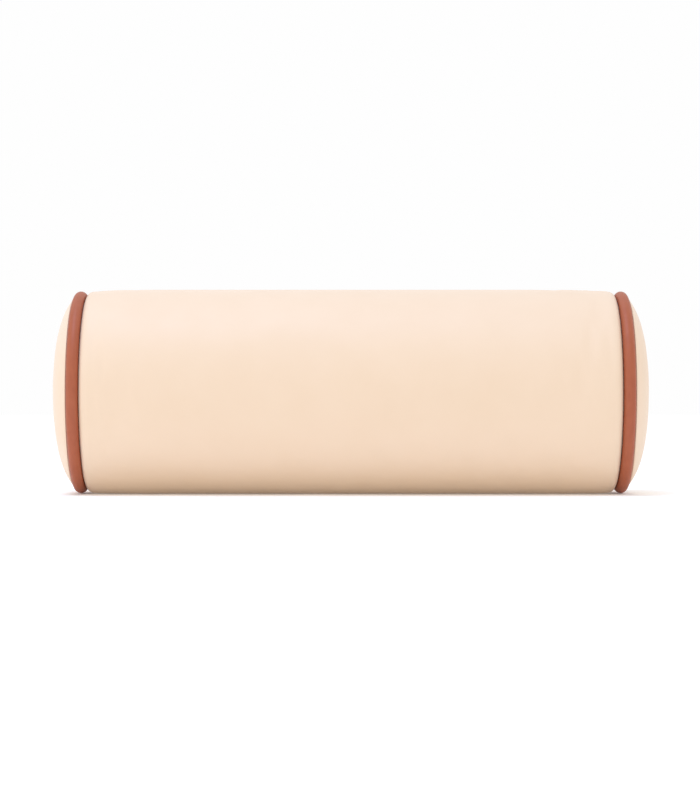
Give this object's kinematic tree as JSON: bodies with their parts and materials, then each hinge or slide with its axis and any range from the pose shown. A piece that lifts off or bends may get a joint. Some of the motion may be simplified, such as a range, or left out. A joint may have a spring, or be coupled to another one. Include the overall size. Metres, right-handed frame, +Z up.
{
  "type": "bolster pillow",
  "caption": "Round bolster pillow with piped, domed ends: zipped cover over a liner, wadding wrap and foam core; the slider runs and its pull flips.",
  "frame": {"origin": "middle of the box's underside, on the surface the pillow lies on", "axes": "+X along the pillow, +Y towards the zip at the back, +Z up"},
  "size_m": [0.6656, 0.2311, 0.2265],
  "materials": {
    "cover": "matte",
    "piping": "satin",
    "cord": "matte",
    "thread": "satin",
    "tape": "matte",
    "coil": "satin",
    "metal": "antique satin",
    "liner": "matte",
    "wadding": "matte",
    "foam": "matte"
  },
  "bodies": {
    "pillow": {"cover_body": "cover", "left_end_panel": "cover", "right_end_panel": "cover", "left_piping_cover": "piping", "right_piping_cover": "piping", "left_piping_cord": "cord", "right_piping_cord": "cord", "left_needle_thread": "thread", "right_needle_thread": "thread", "left_bobbin_thread": "thread", "right_bobbin_thread": "thread", "zip_tape_upper": "tape", "zip_tape_lower": "tape", "zip_coil_upper": "coil", "zip_coil_lower": "coil", "zip_top_stop_upper": "metal", "zip_top_stop_lower": "metal", "zip_bottom_stop": "metal", "topstitch_upper": "thread", "topstitch_lower": "thread", "bartack_left": "thread", "bartack_right": "thread", "liner": "liner", "wadding_wrap": "wadding", "left_crown_pad": "wadding", "right_crown_pad": "wadding", "foam_core": "foam"},
    "slider": {"zip_slider": "metal"},
    "pull": {"zip_pull": "metal"}
  },
  "joints": [
    {"name": "zip_slide", "type": "slide", "parent": "pillow", "child": "slider", "axis": [-1, 0, 0], "range_m": [0, 0.4699]},
    {"name": "pull_hinge", "type": "hinge", "parent": "slider", "child": "pull", "pos_m": [0.23495, 0.11555, 0.11275], "axis": [0, 0, -1], "range_deg": [0, 180]}
  ]
}
